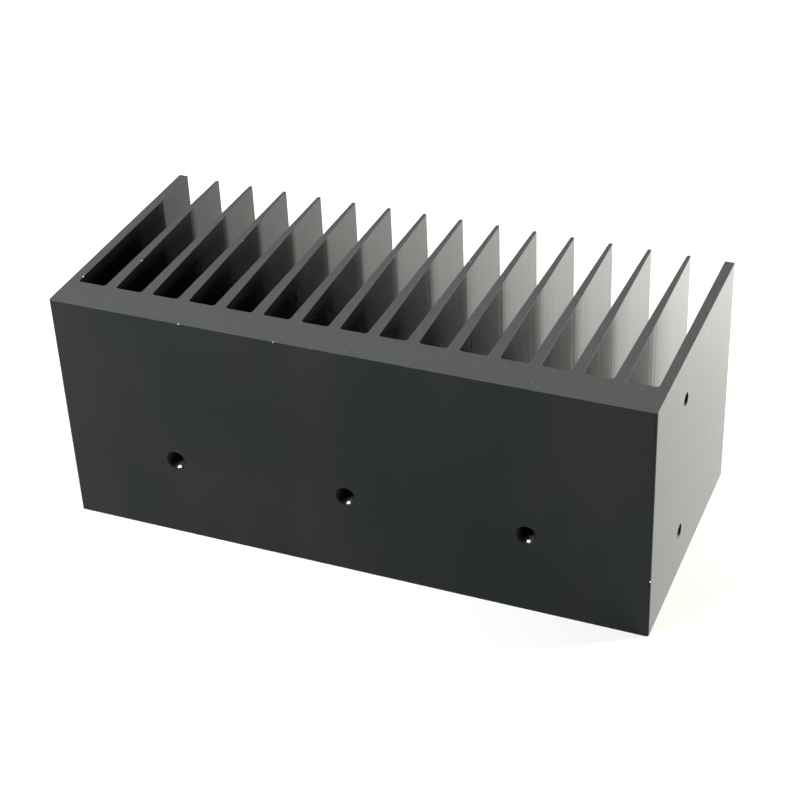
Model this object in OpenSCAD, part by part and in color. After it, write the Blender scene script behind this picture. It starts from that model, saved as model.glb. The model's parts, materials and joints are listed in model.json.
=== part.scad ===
// Extruded plate-fin heat sink with tapped holes.
//
// The piece stands on one of its cut ends, so its profile lies in the XY plane and runs up
// along Z. The flat base face looks along -Y and the fins point along +Y. The origin is the
// centre of the footprint, on the lower cut end.

/* [Extrusion] */
// Overall width, across the outer faces of the two end fins
body_w = 120; // [90:0.5:240]
// Overall depth, from the base face to the fin tips
body_d = 54.3; // [40:0.1:80]
// Length that the extrusion is cut to
cut_len = 50; // [42:0.5:200]
// Thickness of the base plate
base_t = 8; // [7.8:0.1:12]
// Radius of the two long outer edges of the base face
base_edge_r = 0.5; // [0.2:0.1:2]

/* [Fins] */
// Distance from the middle of one inner fin to the middle of the next
fin_pitch = 7.84; // [6:0.02:14]
// Thickness of an inner fin at the floor of the slots
fin_root_t = 2.3; // [1.4:0.05:3]
// Thickness that an inner fin's sides draw in to at its tip
fin_tip_t = 0.8; // [0.6:0.05:1.2]
// Thickness of each end fin, the same from base to tip
end_fin_t = 2; // [1.5:0.1:5]
// Radius of both edges of an end fin's tip
end_tip_r = 0.3; // [0.1:0.05:0.7]
// Fillet between a fin and the floor of a slot
slot_fillet_r = 0.6; // [0.2:0.05:1]

/* [Tapped holes in the base face] */
// Number of holes in the row
base_hole_count = 3; // [1:1:3]
// Distance from one hole to the next
base_hole_spacing = 36.2; // [20:0.1:38]
// Height of the row above the lower cut end
base_hole_h = 17.7; // [8:0.1:34]
// Diameter of the tapping drill, for an M4 thread
base_drill_d = 3.3; // [2:0.1:4]
// Depth that the full diameter of the drill reaches
base_drill_depth = 6.2; // [4:0.1:6.4]
// Diameter of the countersink at the mouth
base_mouth_d = 4.1; // [4.1:0.1:6]

/* [Tapped holes in the end fins] */
// Distance between the two holes of each end fin
side_hole_spacing = 30; // [10:0.5:34]
// Distance of the holes from the base face
side_hole_y = 20.1; // [15:0.1:36]
// Diameter of the tapping drill, for an M3 thread
side_drill_d = 2.5; // [1.5:0.1:2.9]
// Diameter of the countersink at the mouth
side_mouth_d = 3; // [3:0.1:4]

/* [Hidden] */
$fn = 48;

// Half of the angle at the point of a twist drill
drill_half_angle = 59;
// How far a shape reaches into what it is joined to, or a cutter past what it cuts
overlap = 0.3;

half_w = body_w / 2;
fin_h = body_d - base_t;

// As many inner fins as fit between the end fins, centred on the base
fin_count = floor((body_w - 2 * end_fin_t) / fin_pitch);
first_fin_x = -(fin_count - 1) * fin_pitch / 2;

// How far an inner fin's side leans in for each unit of height, and its length for that
lean = (fin_root_t - fin_tip_t) / 2 / fin_h;
lean_len = sqrt(1 + lean * lean);
// Round tip that runs into both leaning sides
fin_tip_r = fin_tip_t / 2 / (lean_len - lean);

// The floors beside an end fin are the narrowest or the widest, so both kinds limit the fillet
inner_floor = fin_pitch - fin_root_t;
end_floor = half_w - end_fin_t + first_fin_x - fin_root_t / 2;
fillet_r = min(slot_fillet_r, 0.45 * inner_floor, 0.45 * end_floor);

// Fillet on the +X side of a fin whose side meets the slot floor at the origin
module slot_fillet(side_lean) {
    side_len = sqrt(1 + side_lean * side_lean);
    side_normal = [1, side_lean] / side_len;
    middle = [fillet_r * (side_len - side_lean), fillet_r];
    difference() {
        polygon([
            [-overlap, -overlap],
            [middle.x, -overlap],
            middle,
            middle - (fillet_r + overlap) * side_normal
        ]);
        translate(middle) circle(r = fillet_r);
    }
}

// Cutter that leaves an inner fin's tip round, with the fin standing at the origin
module tip_cutter() {
    middle = [0, fin_h - fin_tip_r];
    side_normal = [1, lean] / lean_len;
    reach = fin_tip_r + overlap;
    difference() {
        polygon([
            middle,
            middle + reach * side_normal,
            [reach + overlap, fin_h + 2 * overlap],
            [-reach - overlap, fin_h + 2 * overlap],
            middle + reach * [-side_normal.x, side_normal.y]
        ]);
        translate(middle) circle(r = fin_tip_r);
    }
}

// Inner fin, tapered on both sides, standing on the slot floor at the origin
module inner_fin() {
    top_y = fin_h + overlap;
    half_root = fin_root_t / 2;
    half_top = half_root - lean * top_y;
    difference() {
        polygon([
            [-half_root, -overlap],
            [half_root, -overlap],
            [half_root, 0],
            [half_top, top_y],
            [-half_top, top_y],
            [-half_root, 0]
        ]);
        tip_cutter();
    }
    for (flip = [0, 1])
        mirror([flip, 0])
            translate([half_root, 0]) slot_fillet(lean);
}

// End fin on the +X side, with straight faces
module end_fin() {
    inner_x = half_w - end_fin_t;
    translate([inner_x, base_t - overlap])
        square([end_fin_t, fin_h + overlap - end_tip_r]);
    translate([inner_x + end_tip_r, base_t])
        square([end_fin_t - 2 * end_tip_r, fin_h]);
    for (x = [inner_x + end_tip_r, half_w - end_tip_r])
        translate([x, body_d - end_tip_r]) circle(r = end_tip_r);
    translate([inner_x, base_t]) mirror([1, 0]) slot_fillet(0);
}

// Base plate with its two outer edges rounded
module base_plate() {
    translate([-half_w, base_edge_r])
        square([body_w, base_t - base_edge_r]);
    translate([base_edge_r - half_w, 0])
        square([body_w - 2 * base_edge_r, base_t]);
    for (side = [-1, 1])
        translate([side * (half_w - base_edge_r), base_edge_r])
            circle(r = base_edge_r);
}

// Profile of the extrusion, with its base face on the X axis
module profile() {
    base_plate();
    for (flip = [0, 1]) mirror([flip, 0]) end_fin();
    for (i = [0 : fin_count - 1])
        translate([first_fin_x + i * fin_pitch, base_t]) inner_fin();
}

// Cutter of a countersunk hole that runs down from the origin
module tapping_hole(drill_d, mouth_d, depth, point_h) {
    countersink = (mouth_d - drill_d) / 2;
    rotate_extrude()
        polygon([
            [0, overlap],
            [mouth_d / 2, overlap],
            [mouth_d / 2, 0],
            [drill_d / 2, -countersink],
            [drill_d / 2, -depth],
            [0, -depth - point_h]
        ]);
}

// Blind holes in the base face, as left by the drill
module base_holes() {
    point_h = base_drill_d / 2 / tan(drill_half_angle);
    row_x = -(base_hole_count - 1) * base_hole_spacing / 2;
    for (i = [0 : base_hole_count - 1])
        translate([row_x + i * base_hole_spacing, 0, base_hole_h])
            rotate([90, 0, 0])
                tapping_hole(base_drill_d, base_mouth_d, base_drill_depth, point_h);
}

// Through holes in the end fin on the +X side
module side_holes() {
    for (side = [-1, 1])
        translate([half_w, side_hole_y, cut_len / 2 + side * side_hole_spacing / 2])
            rotate([0, 90, 0])
                tapping_hole(side_drill_d, side_mouth_d, end_fin_t + overlap, 0);
}

module heat_sink() {
    color([0.12, 0.12, 0.13])
        translate([0, -body_d / 2, 0])
            difference() {
                linear_extrude(cut_len) profile();
                base_holes();
                for (flip = [0, 1]) mirror([flip, 0, 0]) side_holes();
            }
}

heat_sink();
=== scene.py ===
"""Black anodised plate-fin heat sink on a plain white floor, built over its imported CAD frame.

Lengths are in metres and come from the frame's box and record, or from the named values below, in
which MM turns millimetres into metres. X runs across the fins, +Y from the base face to the fin
tips, and Z up along the extrusion.
"""

import json
import math

import bmesh
import bpy
from mathutils import Matrix, Vector


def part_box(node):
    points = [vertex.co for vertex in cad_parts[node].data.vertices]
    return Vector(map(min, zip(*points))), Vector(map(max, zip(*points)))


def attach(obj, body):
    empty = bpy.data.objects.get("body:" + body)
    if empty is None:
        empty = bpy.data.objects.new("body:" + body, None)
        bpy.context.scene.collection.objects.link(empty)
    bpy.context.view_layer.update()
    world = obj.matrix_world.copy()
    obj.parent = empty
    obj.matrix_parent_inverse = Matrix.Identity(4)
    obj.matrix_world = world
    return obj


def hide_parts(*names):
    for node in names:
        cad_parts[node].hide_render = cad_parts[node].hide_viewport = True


MM = 0.001

# Profile of the extrusion
BASE_THICKNESS = 8 * MM
BASE_EDGE_RADIUS = 0.5 * MM
FIN_PITCH = 7.84 * MM
FIN_ROOT = 2.3 * MM
FIN_TIP = 0.8 * MM
END_FIN = 2 * MM
END_TIP_RADIUS = 0.3 * MM
SLOT_FILLET = 0.6 * MM
CUT_CHAMFER = 0.05 * MM

# Camera: what it looks at, from where, and its lens in millimetres
AIM = Vector((0.8, -0.9, 23.3)) * MM
CAMERA_AZIMUTH = math.radians(23.58)
CAMERA_ELEVATION = math.radians(33.85)
CAMERA_ROLL = math.radians(-2.7)
CAMERA_DISTANCE = 382.9 * MM
CAMERA_LENS = 86.74
SENSOR_WIDTH = 36.0
CLIP_START = 0.01
CLIP_END = 20


# ---------------------------------------------------------------- profile


def arc(centre, radius, start, end, steps):
    """Points of an arc from one angle to another, in degrees, with both ends."""
    angles = [math.radians(start + (end - start) * i / steps) for i in range(steps + 1)]
    return [centre + radius * Vector((math.cos(a), math.sin(a))) for a in angles]


def inner_fin(x, floor_y, height):
    """Right side, round tip and left side of a tapered fin that stands on the slot floor."""
    lean = (FIN_ROOT - FIN_TIP) / 2 / height
    lean_angle = math.degrees(math.atan(lean))
    lean_length = math.hypot(1, lean)
    tip_radius = FIN_TIP / 2 / (lean_length - lean)
    foot = Vector((FIN_ROOT / 2 + SLOT_FILLET * (lean_length - lean), SLOT_FILLET))
    right = arc(foot, SLOT_FILLET, 270, 180 + lean_angle, 4)
    tip = arc(Vector((0, height - tip_radius)), tip_radius, lean_angle, 180 - lean_angle, 10)
    left = [Vector((-p.x, p.y)) for p in reversed(right)]
    return [p + Vector((x, floor_y)) for p in right + tip + left]


def right_end(half_width, depth):
    """Rounded edge of the base, then the end fin, up its outer face and down its inner one."""
    edge = Vector((half_width - BASE_EDGE_RADIUS, BASE_EDGE_RADIUS))
    outer = Vector((half_width - END_TIP_RADIUS, depth - END_TIP_RADIUS))
    inner = Vector((half_width - END_FIN + END_TIP_RADIUS, depth - END_TIP_RADIUS))
    foot = Vector((half_width - END_FIN - SLOT_FILLET, BASE_THICKNESS + SLOT_FILLET))
    return (
        arc(edge, BASE_EDGE_RADIUS, 270, 360, 6)
        + arc(outer, END_TIP_RADIUS, 0, 90, 5)
        + arc(inner, END_TIP_RADIUS, 90, 180, 5)
        + arc(foot, SLOT_FILLET, 360, 270, 4)
    )


def profile_outline(low, high):
    """The profile as one loop, anticlockwise from above."""
    half_width = (high.x - low.x) / 2
    depth = high.y - low.y
    fin_count = int((2 * half_width - 2 * END_FIN) / FIN_PITCH)
    last_fin = (fin_count - 1) * FIN_PITCH / 2
    right = right_end(half_width, depth)
    points = list(right)
    for i in range(fin_count):
        x = last_fin - i * FIN_PITCH
        points += inner_fin(x, BASE_THICKNESS, depth - BASE_THICKNESS)
    points += [Vector((-p.x, p.y)) for p in reversed(right)]
    return [p + Vector((0, low.y)) for p in points]


def inset(points, distance):
    """The loop moved inwards, each point along the middle of its two edges' normals."""
    moved = []
    count = len(points)
    for i, here in enumerate(points):
        before = (here - points[i - 1]).normalized()
        after = (points[(i + 1) % count] - here).normalized()
        normals = Vector((-before.y, before.x)), Vector((-after.y, after.x))
        middle = (normals[0] + normals[1]).normalized()
        moved.append(here + middle * (distance / middle.dot(normals[0])))
    return moved


def extrusion(low, high):
    """The cut length with a fine chamfer round both cut ends, without its holes."""
    outline = profile_outline(low, high)
    narrow = inset(outline, CUT_CHAMFER)
    rings = [
        (narrow, low.z),
        (outline, low.z + CUT_CHAMFER),
        (outline, high.z - CUT_CHAMFER),
        (narrow, high.z),
    ]
    work = bmesh.new()
    loops = [[work.verts.new((p.x, p.y, z)) for p in loop] for loop, z in rings]
    count = len(outline)
    for lower, upper in zip(loops, loops[1:]):
        for i in range(count):
            j = (i + 1) % count
            work.faces.new((lower[i], lower[j], upper[j], upper[i]))
    work.faces.new(list(reversed(loops[0])))
    work.faces.new(loops[-1])
    mesh = bpy.data.meshes.new("extruded_heat_sink")
    work.to_mesh(mesh)
    work.free()
    return mesh


# ---------------------------------------------------------------- tapped holes

# M4 in the base face and M3 in the end fins; "threaded" is the depth where the thread ends
BASE_HOLE = {
    "drill": 3.3 * MM, "thread": 4.0 * MM, "pitch": 0.7 * MM, "mouth": 4.1 * MM,
    "depth": 6.2 * MM, "threaded": 4.6 * MM, "blind": True,
}
SIDE_HOLE = {
    "drill": 2.5 * MM, "thread": 3.0 * MM, "pitch": 0.5 * MM, "mouth": 3.0 * MM,
    "depth": 2.35 * MM, "threaded": 3.0 * MM, "blind": False,
}
HOLE_OVERLAP = 0.3 * MM
HOLE_SIDES = 40
ROWS_PER_TURN = 8
GROOVE_NARROWING = 1.2
DRILL_POINT_ANGLE = math.radians(59)
# Bare metal strip on a base hole's wall, placed where the hole shows its glint, so a painted
# glint
# given as film that screws rubbed off: its depths, and degrees round the axis
GLINT_STRIP_TOP = 0.25 * MM
GLINT_STRIP_DEPTH = 1.25 * MM
GLINT_STRIP_FROM = -88
GLINT_STRIP_TO = -71
# Closer to the mouth's plane than this, a face isn't in the hole
MOUTH_SKIN = 0.01 * MM


def hole_radius(hole, depth, turn):
    """Radius of the hole's wall at a depth, with turn as the share of a turn round the axis."""
    drill, mouth = hole["drill"] / 2, hole["mouth"] / 2
    phase = (depth / hole["pitch"] - turn) % 1
    groove = max(0.0, 1 - abs(2 * phase - 1) * GROOVE_NARROWING)
    runout = min(1.0, max(0.0, (hole["threaded"] - depth) / hole["pitch"]))
    wall = drill + (hole["thread"] / 2 - drill) * groove * runout
    countersink = mouth - max(depth, 0)
    return max(wall, countersink)


def hole_cutter(hole, mouth_centre, inwards):
    """Closed solid with the form of the hole, its axis pointing inwards from the mouth."""
    row_step = hole["pitch"] / ROWS_PER_TURN
    row_count = round((hole["depth"] + HOLE_OVERLAP) / row_step)
    turn_to = Vector((0, 0, 1)).rotation_difference(inwards).to_matrix().to_4x4()
    place = Matrix.Translation(mouth_centre) @ turn_to
    work = bmesh.new()
    rows = []
    for i in range(row_count + 1):
        depth = -HOLE_OVERLAP + (hole["depth"] + HOLE_OVERLAP) * i / row_count
        row = []
        for j in range(HOLE_SIDES):
            turn = j / HOLE_SIDES
            radius = hole_radius(hole, depth, turn)
            angle = 2 * math.pi * turn
            point = Vector((radius * math.cos(angle), radius * math.sin(angle), depth))
            row.append(work.verts.new(place @ point))
        rows.append(row)
    for upper, lower in zip(rows, rows[1:]):
        for j in range(HOLE_SIDES):
            k = (j + 1) % HOLE_SIDES
            work.faces.new((upper[j], upper[k], lower[k], lower[j]))
    work.faces.new(list(reversed(rows[0])))
    if hole["blind"]:
        point_depth = hole["depth"] + hole["drill"] / 2 / math.tan(DRILL_POINT_ANGLE)
        point = work.verts.new(place @ Vector((0, 0, point_depth)))
        for j in range(HOLE_SIDES):
            work.faces.new((rows[-1][j], rows[-1][(j + 1) % HOLE_SIDES], point))
    else:
        work.faces.new(rows[-1])
    bmesh.ops.recalc_face_normals(work, faces=work.faces)
    bmesh.ops.triangulate(work, faces=work.faces)
    mesh = bpy.data.meshes.new("hole_cutter")
    work.to_mesh(mesh)
    work.free()
    cutter = bpy.data.objects.new("hole_cutter", mesh)
    bpy.context.scene.collection.objects.link(cutter)
    return cutter


def hole_list(record, low):
    """Each hole's kind, the centre of its mouth and the way it goes in, from the mounts."""
    holes = []
    for mount in record["mounts"]:
        centre = Vector(mount["pos_m"])
        outwards = Vector(mount["axis"])
        if mount["kind"] == "threaded_hole":
            holes.append((BASE_HOLE, Vector((centre.x, low.y, centre.z)), -outwards))
        elif mount["kind"] == "bolt_pattern":
            half_spacing = Vector((0, 0, mount["dims"]["spacing_y_mm"] * MM / 2))
            for place in (centre - half_spacing, centre + half_spacing):
                holes.append((SIDE_HOLE, place, -outwards))
    return holes


def cut_away(sink, cutters):
    """Takes the cutters' solids out of the heat sink, then deletes the cutters."""
    for cutter in cutters:
        cut = sink.modifiers.new("hole", "BOOLEAN")
        cut.operation = "DIFFERENCE"
        cut.solver = "EXACT"
        cut.object = cutter
    apply_modifiers(sink)
    for cutter in cutters:
        bpy.data.objects.remove(cutter)


def apply_modifiers(thing):
    bpy.context.view_layer.update()
    graph = bpy.context.evaluated_depsgraph_get()
    made = bpy.data.meshes.new_from_object(thing.evaluated_get(graph))
    thing.modifiers.clear()
    thing.data = made


def hole_surface(point, holes):
    """What a point lies on: a hole's "wall", its "bare" strip that paints the glint, or None for
    neither.
    """
    for hole, mouth_centre, inwards in holes:
        offset = point - mouth_centre
        depth = offset.dot(inwards)
        radius = (offset - depth * inwards).length
        if not MOUTH_SKIN < depth < 2 * hole["depth"] or radius > hole["mouth"] / 2:
            continue
        angle = math.degrees(math.atan2(offset.z, offset.x))
        # The bare strip paints the glint on the lower wall of each base hole
        on_glint_strip = GLINT_STRIP_TOP < depth < GLINT_STRIP_DEPTH and GLINT_STRIP_FROM < angle < GLINT_STRIP_TO
        return "bare" if on_glint_strip and hole is BASE_HOLE else "wall"
    return None


# ---------------------------------------------------------------- nicks

# Nicks in the edges and faces, in millimetres: x, y, depth below the upper cut end, and radius.
# A separate script projected their places from the reference picture, and they were rounded
# afterwards, so they are neither chosen by hand nor made by a rule. The radii are listed one by
# one.
NICKS = [
    (-32.1, -27.1, 0.1, 0.24), (-12.6, -27.1, 0.1, 0.2), (-50.1, -8.1, 0.0, 0.2),
    (-49.7, -12.0, 0.0, 0.2), (-34.5, 5.4, 0.0, 0.18), (11.5, 11.6, 0.0, 0.24),
    (19.5, -8.8, 0.08, 0.16), (29.7, -20.9, 0.08, 0.18), (25.5, -26.2, 0.08, 0.16),
    (52.2, -18.7, 0.05, 0.22), (58.4, -5.1, 0.05, 0.16), (-57.9, -17.2, 0.0, 0.22),
    (60.0, -26.9, 37.0, 0.24), (51.3, 22.2, 0.35, 0.22),
]
# A face belongs to a nick if it is within this many radii of the nick's centre
NICK_REACH = 1.02


def nick_spheres(high):
    """Centre and radius of each nick, in metres."""
    return [
        (Vector((x * MM, y * MM, high.z - below * MM)), radius * MM)
        for x, y, below, radius in NICKS
    ]


def add_nicks(sink, high):
    """Cuts the small nicks of the surface as round dents, all in one go."""
    work = bmesh.new()
    for centre, radius in nick_spheres(high):
        place = Matrix.Translation(centre)
        bmesh.ops.create_icosphere(work, subdivisions=2, radius=radius, matrix=place)
    mesh = bpy.data.meshes.new("nick_cutter")
    work.to_mesh(mesh)
    work.free()
    cutter = bpy.data.objects.new("nick_cutter", mesh)
    bpy.context.scene.collection.objects.link(cutter)
    cut_away(sink, [cutter])


def in_nick(point, high):
    """Is the point on the wall of a nick?"""
    for centre, radius in nick_spheres(high):
        if (point - centre).length < NICK_REACH * radius:
            return True
    return False


# ---------------------------------------------------------------- materials


def new_material(name):
    """An empty node material, with its node tree and its output node."""
    material = bpy.data.materials.new(name)
    material.use_nodes = True
    tree = material.node_tree
    tree.nodes.clear()
    output = tree.nodes.new("ShaderNodeOutputMaterial")
    return material, tree, output


def noise(tree, scale, stretch=(1, 1, 1), detail=2.0):
    """Noise fixed to the object, with scale as features per metre."""
    coordinates = tree.nodes.new("ShaderNodeTexCoord")
    mapping = tree.nodes.new("ShaderNodeMapping")
    mapping.inputs["Scale"].default_value = stretch
    texture = tree.nodes.new("ShaderNodeTexNoise")
    texture.inputs["Scale"].default_value = scale
    texture.inputs["Detail"].default_value = detail
    tree.links.new(coordinates.outputs["Object"], mapping.inputs["Vector"])
    tree.links.new(mapping.outputs[0], texture.inputs["Vector"])
    return texture.outputs["Fac"]


def remap(tree, value, low, high, to_low, to_high):
    node = tree.nodes.new("ShaderNodeMapRange")
    for name, number in zip(
        ("From Min", "From Max", "To Min", "To Max"), (low, high, to_low, to_high)
    ):
        node.inputs[name].default_value = number
    tree.links.new(value, node.inputs["Value"])
    return node.outputs["Result"]


def feed(tree, value, socket):
    """Links a node's output to a socket, or sets a fixed number or colour on it."""
    if isinstance(value, bpy.types.NodeSocket):
        tree.links.new(value, socket)
    elif isinstance(value, tuple):
        socket.default_value = (*value, 1)
    else:
        socket.default_value = value


def mix_colours(tree, share, first, second, blend_type="MIX"):
    """Two colours mixed by a share, each of the three fixed or from a node."""
    node = tree.nodes.new("ShaderNodeMix")
    node.data_type = "RGBA"
    node.blend_type = blend_type
    feed(tree, share, node.inputs["Factor"])
    feed(tree, first, node.inputs["A"])
    feed(tree, second, node.inputs["B"])
    return node.outputs["Result"]


def bump(tree, height, distance, below=None):
    node = tree.nodes.new("ShaderNodeBump")
    node.inputs["Strength"].default_value = 1.0
    node.inputs["Distance"].default_value = distance
    tree.links.new(height, node.inputs["Height"])
    if below is not None:
        tree.links.new(below, node.inputs["Normal"])
    return node.outputs["Normal"]


def along_axis(tree, axis):
    """The object's own coordinate along an axis, in metres."""
    coordinates = tree.nodes.new("ShaderNodeTexCoord")
    split = tree.nodes.new("ShaderNodeSeparateXYZ")
    tree.links.new(coordinates.outputs["Object"], split.inputs[0])
    return split.outputs[axis]


def new_shader(tree, output, ior):
    """A Principled shader with a fixed IOR, wired to the material's output."""
    shader = tree.nodes.new("ShaderNodeBsdfPrincipled")
    shader.inputs["IOR"].default_value = ior
    tree.links.new(shader.outputs[0], output.inputs["Surface"])
    return shader


# Noise mostly lies in this range, so this is what remap spreads over a material's values
NOISE_LOW = 0.3
NOISE_HIGH = 0.7

# Finishes of the drawn faces: IOR of the film, depth of the broad die lines, two film colours
OUTER_FINISH = (1.14, 0.01 * MM, (0.012, 0.012, 0.011), (0.006, 0.009, 0.010))
FIN_FINISH = (1.17, 0.016 * MM, (0.008, 0.008, 0.007), (0.004, 0.006, 0.008))
FILM_ROUGHNESS = 0.1
STREAK_ROUGHNESS = (0.8 * FILM_ROUGHNESS, 1.4 * FILM_ROUGHNESS)
SPECULAR_TINT = (1.0, 1.0, 0.93)
# Coat weight at the fins' roots, and the distance from the slot floor where it reaches 1; the
# fade is painted shade
ROOT_GLOSS = 0.0
GLOSS_DEPTH = 33 * MM

# Features per metre of each noise; die lines run along Z, so they stretch that way
MOTTLE_SCALE = 45
MOTTLE_STRETCH = (1, 1, 0.5)
MOTTLE_LOW = 0.35
MOTTLE_HIGH = 0.65
STREAK_SCALE = 900
BROAD_LINE_SCALE = 600
FINE_LINE_SCALE = 4000
FINE_LINE_DEPTH = 0.003 * MM
DIE_LINE_STRETCH = (1, 1, 0.01)


def drawn_surface(name, finish, slot_floor=None):
    """Anodised faces that came through the die: dull head-on, shiny at a low angle.

    With a slot floor, the coat fades out towards it. That fade is painted shade: it makes the
    fins' roots as dark as they look, and isn't a measured property of the film.
    """
    film_ior, line_depth, warm, cool = finish
    material, tree, output = new_material(name)
    shader = new_shader(tree, output, film_ior)
    shader.inputs["Specular Tint"].default_value = (*SPECULAR_TINT, 1)
    shader.inputs["Coat Weight"].default_value = 1.0
    shader.inputs["Coat IOR"].default_value = film_ior
    shader.inputs["Coat Roughness"].default_value = FILM_ROUGHNESS
    if slot_floor is not None:
        bright_from = slot_floor + GLOSS_DEPTH
        gloss = remap(tree, along_axis(tree, "Y"), slot_floor, bright_from, ROOT_GLOSS, 1)
        tree.links.new(gloss, shader.inputs["Coat Weight"])
    mottle = noise(tree, MOTTLE_SCALE, MOTTLE_STRETCH)
    tint = remap(tree, mottle, MOTTLE_LOW, MOTTLE_HIGH, 0, 1)
    tree.links.new(mix_colours(tree, tint, warm, cool), shader.inputs["Base Color"])
    streaks = noise(tree, STREAK_SCALE, DIE_LINE_STRETCH, 3)
    roughness = remap(tree, streaks, NOISE_LOW, NOISE_HIGH, *STREAK_ROUGHNESS)
    tree.links.new(roughness, shader.inputs["Roughness"])
    broad = bump(tree, noise(tree, BROAD_LINE_SCALE, DIE_LINE_STRETCH, 1), line_depth)
    fine_lines = noise(tree, FINE_LINE_SCALE, DIE_LINE_STRETCH, 2)
    fine = bump(tree, fine_lines, FINE_LINE_DEPTH, broad)
    tree.links.new(fine, shader.inputs["Normal"])
    tree.links.new(fine, shader.inputs["Coat Normal"])
    return material


# The cut ends: darker and lighter grain of the base plate and of the fins, the specks, and the
# width of the change from the plate's tone to the fins'
PLATE_GRAIN = ((0.053, 0.057, 0.055), (0.078, 0.084, 0.081))
FIN_GRAIN = ((0.056, 0.055, 0.060), (0.083, 0.081, 0.088))
SPECK_COLOUR = (0.22, 0.22, 0.21)
SAWN_IOR = 1.15
SAWN_ROUGHNESS = (0.45, 0.6)
SAW_GRAIN_SCALE = 5000
SAW_GRAIN_DEPTH = 0.01 * MM
SPECK_SCALE = 3200
SPECK_FROM = 0.80
SPECK_TO = 0.84
TONE_CHANGE = 1.5 * MM


def sawn_surface(base_top):
    """Anodised cut ends: greyer and matt, with pale specks, purplish on the fins."""
    material, tree, output = new_material("anodised_cut_end")
    shader = new_shader(tree, output, SAWN_IOR)
    grain = noise(tree, SAW_GRAIN_SCALE, detail=3)
    share = remap(tree, grain, NOISE_LOW, NOISE_HIGH, 0, 1)
    plate = mix_colours(tree, share, *PLATE_GRAIN)
    fins = mix_colours(tree, share, *FIN_GRAIN)
    along = along_axis(tree, "Y")
    on_fins = remap(tree, along, base_top - TONE_CHANGE, base_top + TONE_CHANGE, 0, 1)
    body = mix_colours(tree, on_fins, plate, fins)
    specks = remap(tree, noise(tree, SPECK_SCALE, detail=0), SPECK_FROM, SPECK_TO, 0, 1)
    speck_colour = mix_colours(tree, specks, (0, 0, 0), SPECK_COLOUR)
    colour = mix_colours(tree, 1.0, body, speck_colour, "ADD")
    tree.links.new(colour, shader.inputs["Base Color"])
    roughness = remap(tree, grain, NOISE_LOW, NOISE_HIGH, *SAWN_ROUGHNESS)
    tree.links.new(roughness, shader.inputs["Roughness"])
    tree.links.new(bump(tree, grain, SAW_GRAIN_DEPTH), shader.inputs["Normal"])
    return material


THREAD_IOR = 1.2
THREAD_GRAIN = ((0.004, 0.004, 0.005), (0.010, 0.009, 0.011))
THREAD_GRAIN_SCALE = 4000
# Bare metal colours, set as bright as the glint in the base holes that the strip there paints;
# the nicks share them
BARE_GRAIN = ((0.30, 0.30, 0.31), (0.55, 0.55, 0.56))
BARE_GRAIN_SCALE = 3000
DULL_ROUGHNESS = (0.35, 0.5)


def drilled_surface():
    """Anodised walls of the tapped holes: dull and nearly black."""
    material, tree, output = new_material("anodised_thread")
    shader = new_shader(tree, output, THREAD_IOR)
    grain = noise(tree, THREAD_GRAIN_SCALE)
    colour = mix_colours(tree, grain, *THREAD_GRAIN)
    tree.links.new(colour, shader.inputs["Base Color"])
    roughness = remap(tree, grain, NOISE_LOW, NOISE_HIGH, *DULL_ROUGHNESS)
    tree.links.new(roughness, shader.inputs["Roughness"])
    return material


def bare_surface():
    """Bare aluminium, where a knock took the black film off, and on the strip that paints the
    glint in the base holes.
    """
    material, tree, output = new_material("bare_aluminium")
    shader = tree.nodes.new("ShaderNodeBsdfPrincipled")
    shader.inputs["Metallic"].default_value = 1.0
    grain = noise(tree, BARE_GRAIN_SCALE)
    colour = mix_colours(tree, grain, *BARE_GRAIN)
    tree.links.new(colour, shader.inputs["Base Color"])
    roughness = remap(tree, grain, NOISE_LOW, NOISE_HIGH, *DULL_ROUGHNESS)
    tree.links.new(roughness, shader.inputs["Roughness"])
    tree.links.new(shader.outputs[0], output.inputs["Surface"])
    return material


def seen_directly(tree):
    """1 for camera, glossy and transmission rays, and 0 for the rays that carry light."""
    path = tree.nodes.new("ShaderNodeLightPath")
    first = tree.nodes.new("ShaderNodeMath")
    first.operation = "MAXIMUM"
    tree.links.new(path.outputs["Is Camera Ray"], first.inputs[0])
    tree.links.new(path.outputs["Is Glossy Ray"], first.inputs[1])
    both = tree.nodes.new("ShaderNodeMath")
    both.operation = "MAXIMUM"
    tree.links.new(first.outputs[0], both.inputs[0])
    tree.links.new(path.outputs["Is Transmission Ray"], both.inputs[1])
    return both.outputs[0]


# ---------------------------------------------------------------- the piece

SMOOTH_ANGLE = math.radians(35)


# How far outside the slots' walls a face still counts as theirs
SLOT_MARGIN = 0.01 * MM


def face_finish(centre, low, high, holes):
    """Which of the five finishes the face round this point has."""
    hole_part = hole_surface(centre, holes)
    if in_nick(centre, high) or hole_part == "bare":
        return "bare"
    if hole_part == "wall":
        return "wall"
    if min(centre.z - low.z, high.z - centre.z) < CUT_CHAMFER:
        return "end"
    slot_floor = low.y + BASE_THICKNESS - SLOT_MARGIN
    slot_side = high.x - END_FIN + SLOT_MARGIN
    in_slots = centre.y > slot_floor and abs(centre.x) < slot_side
    return "slot" if in_slots else "outer"


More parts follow.
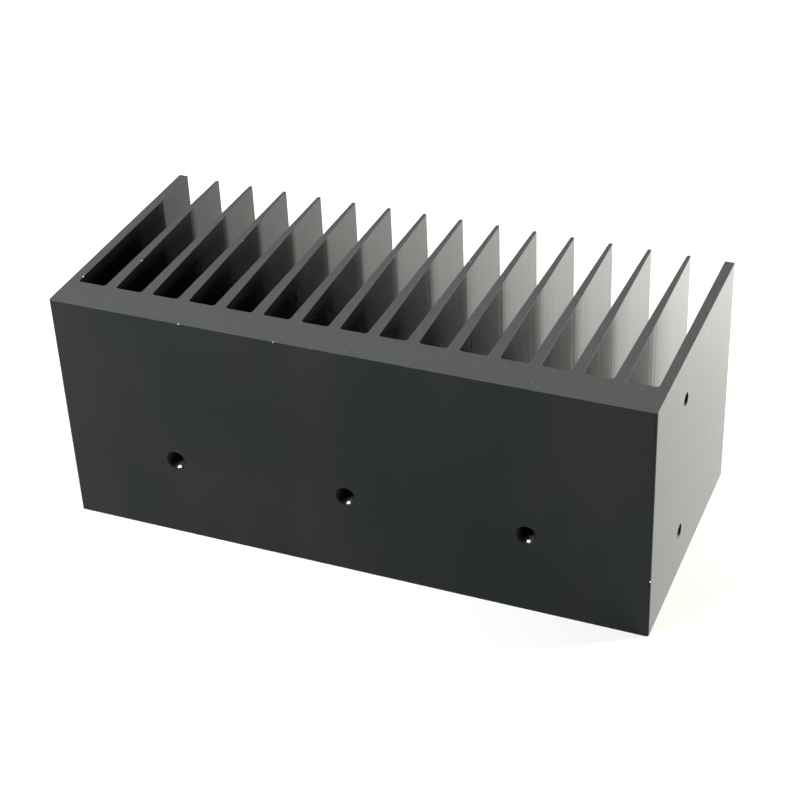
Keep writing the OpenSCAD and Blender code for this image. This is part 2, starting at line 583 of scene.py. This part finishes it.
def add_heat_sink(frame):
    low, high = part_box("heat_sink")
    sink = bpy.data.objects.new("extruded_heat_sink", extrusion(low, high))
    bpy.context.scene.collection.objects.link(sink)
    holes = hole_list(frame["record"], low)
    cut_away(sink, [hole_cutter(*hole) for hole in holes])
    add_nicks(sink, high)
    mesh = sink.data
    mesh.materials.clear()
    base_top = low.y + BASE_THICKNESS
    finishes = {
        "outer": drawn_surface("anodised_outer_face", OUTER_FINISH),
        "end": sawn_surface(base_top),
        "bare": bare_surface(),
        "slot": drawn_surface("anodised_fins", FIN_FINISH, base_top),
        "wall": drilled_surface(),
    }
    for material in finishes.values():
        mesh.materials.append(material)
    order = list(finishes)
    for polygon in mesh.polygons:
        polygon.material_index = order.index(face_finish(polygon.center, low, high, holes))
    mesh.shade_smooth()
    mesh.set_sharp_from_angle(angle=SMOOTH_ANGLE)
    weighted = sink.modifiers.new("flat_faces", "WEIGHTED_NORMAL")
    weighted.keep_sharp = True
    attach(sink, "root")
    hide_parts("heat_sink")


# ---------------------------------------------------------------- studio

# The world: its strength in front, and the Y of the directions where it starts to grow and is 1
FRONT_GREY = 0.1
GROWS_FROM = -0.35
WHITE_FROM = 0.25
# The world's strength for the rays that carry its light
FILL_STRENGTH = 0.15
FLOOR_HALF = 3.0
FLOOR_COLOUR = (0.8, 0.8, 0.8)
# The floor's own glow near the object, and the distances over which it grows to 1
FLOOR_GLOW = 0.22
GLOW_NEAR = 0.2
GLOW_FAR = 0.7
WHITE = (1.0, 1.0, 1.0)
WARM_WHITE = (1.0, 0.99, 0.9)
# Square lamps: name, place, aim, size, power in watts, colour
LAMPS = [
    ("left", (-0.25, -0.25, 0.2), (0, 0, 0.03), 0.2, 2.1, WHITE),
    ("front", (-0.35, -0.35, 0.4), (0, 0, 0), 0.35, 1.9, WHITE),
    ("right", (0.35, 0.3, 0.085), (0.1, 0.1, 0), 0.3, 8.6, WARM_WHITE),
]


def add_floor():
    """A plain pale floor that looks white from afar and still takes the object's shadow."""
    half = FLOOR_HALF
    mesh = bpy.data.meshes.new("floor")
    corners = [(-half, -half, 0), (half, -half, 0), (half, half, 0), (-half, half, 0)]
    mesh.from_pydata(corners, [], [(0, 1, 2, 3)])
    floor = bpy.data.objects.new("floor", mesh)
    bpy.context.scene.collection.objects.link(floor)
    material, tree, output = new_material("white_floor")
    diffuse = tree.nodes.new("ShaderNodeBsdfDiffuse")
    diffuse.inputs["Color"].default_value = (*FLOOR_COLOUR, 1)
    glow = tree.nodes.new("ShaderNodeEmission")
    glow.inputs["Color"].default_value = (*WHITE, 1)
    place = tree.nodes.new("ShaderNodeTexCoord")
    distance = tree.nodes.new("ShaderNodeVectorMath")
    distance.operation = "LENGTH"
    tree.links.new(place.outputs["Object"], distance.inputs[0])
    strength = tree.nodes.new("ShaderNodeMath")
    strength.operation = "MULTIPLY"
    tree.links.new(seen_directly(tree), strength.inputs[0])
    far_glow = remap(tree, distance.outputs["Value"], GLOW_NEAR, GLOW_FAR, FLOOR_GLOW, 1.0)
    tree.links.new(far_glow, strength.inputs[1])
    tree.links.new(strength.outputs[0], glow.inputs["Strength"])
    add = tree.nodes.new("ShaderNodeAddShader")
    tree.links.new(diffuse.outputs[0], add.inputs[0])
    tree.links.new(glow.outputs[0], add.inputs[1])
    tree.links.new(add.outputs[0], output.inputs["Surface"])
    mesh.materials.append(material)


def add_world():
    """White behind the object and grey from in front, where the camera stands."""
    world = bpy.data.worlds.new("studio")
    bpy.context.scene.world = world
    world.use_nodes = True
    tree = world.node_tree
    tree.nodes.clear()
    output = tree.nodes.new("ShaderNodeOutputWorld")
    path = tree.nodes.new("ShaderNodeLightPath")
    direction = tree.nodes.new("ShaderNodeTexCoord")
    split = tree.nodes.new("ShaderNodeSeparateXYZ")
    tree.links.new(direction.outputs["Generated"], split.inputs[0])
    behind = remap(tree, split.outputs["Y"], GROWS_FROM, WHITE_FROM, FRONT_GREY, 1.0)
    either = tree.nodes.new("ShaderNodeMath")
    either.operation = "MAXIMUM"
    tree.links.new(behind, either.inputs[0])
    tree.links.new(path.outputs["Is Camera Ray"], either.inputs[1])
    backdrop = tree.nodes.new("ShaderNodeBackground")
    tree.links.new(either.outputs[0], backdrop.inputs["Strength"])
    fill = tree.nodes.new("ShaderNodeBackground")
    fill.inputs["Strength"].default_value = FILL_STRENGTH
    for node in (backdrop, fill):
        node.inputs["Color"].default_value = (*WHITE, 1)
    mix = tree.nodes.new("ShaderNodeMixShader")
    tree.links.new(seen_directly(tree), mix.inputs[0])
    tree.links.new(fill.outputs[0], mix.inputs[1])
    tree.links.new(backdrop.outputs[0], mix.inputs[2])
    tree.links.new(mix.outputs[0], output.inputs["Surface"])


def add_lamp(name, position, target, size, power, colour):
    light = bpy.data.lights.new(name, "AREA")
    light.shape = "SQUARE"
    light.size = size
    light.energy = power
    light.color = colour
    lamp = bpy.data.objects.new(name, light)
    lamp.location = Vector(position)
    aim = Vector(target) - lamp.location
    lamp.rotation_euler = aim.to_track_quat("-Z", "Y").to_euler()
    bpy.context.scene.collection.objects.link(lamp)


def add_camera():
    away = Vector((
        math.sin(CAMERA_AZIMUTH) * math.cos(CAMERA_ELEVATION),
        -math.cos(CAMERA_AZIMUTH) * math.cos(CAMERA_ELEVATION),
        math.sin(CAMERA_ELEVATION),
    ))
    data = bpy.data.cameras.new("camera")
    data.lens = CAMERA_LENS
    data.sensor_width = SENSOR_WIDTH
    data.clip_start = CLIP_START
    data.clip_end = CLIP_END
    camera = bpy.data.objects.new("camera", data)
    level = (-away).to_track_quat("-Z", "Y").to_matrix().to_4x4()
    roll = Matrix.Rotation(CAMERA_ROLL, 4, "Z")
    camera.matrix_world = Matrix.Translation(AIM + away * CAMERA_DISTANCE) @ level @ roll
    bpy.context.scene.collection.objects.link(camera)
    bpy.context.scene.camera = camera


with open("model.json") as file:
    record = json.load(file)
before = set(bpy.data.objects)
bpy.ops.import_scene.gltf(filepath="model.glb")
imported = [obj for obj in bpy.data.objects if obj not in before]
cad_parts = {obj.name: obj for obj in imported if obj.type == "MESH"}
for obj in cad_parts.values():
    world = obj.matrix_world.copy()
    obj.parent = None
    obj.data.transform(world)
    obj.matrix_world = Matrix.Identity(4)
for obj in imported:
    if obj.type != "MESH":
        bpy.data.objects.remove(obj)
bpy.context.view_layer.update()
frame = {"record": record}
bpy.context.scene.view_settings.view_transform = "Standard"

add_heat_sink(frame)
add_floor()
add_world()
for lamp_values in LAMPS:
    add_lamp(*lamp_values)
add_camera()
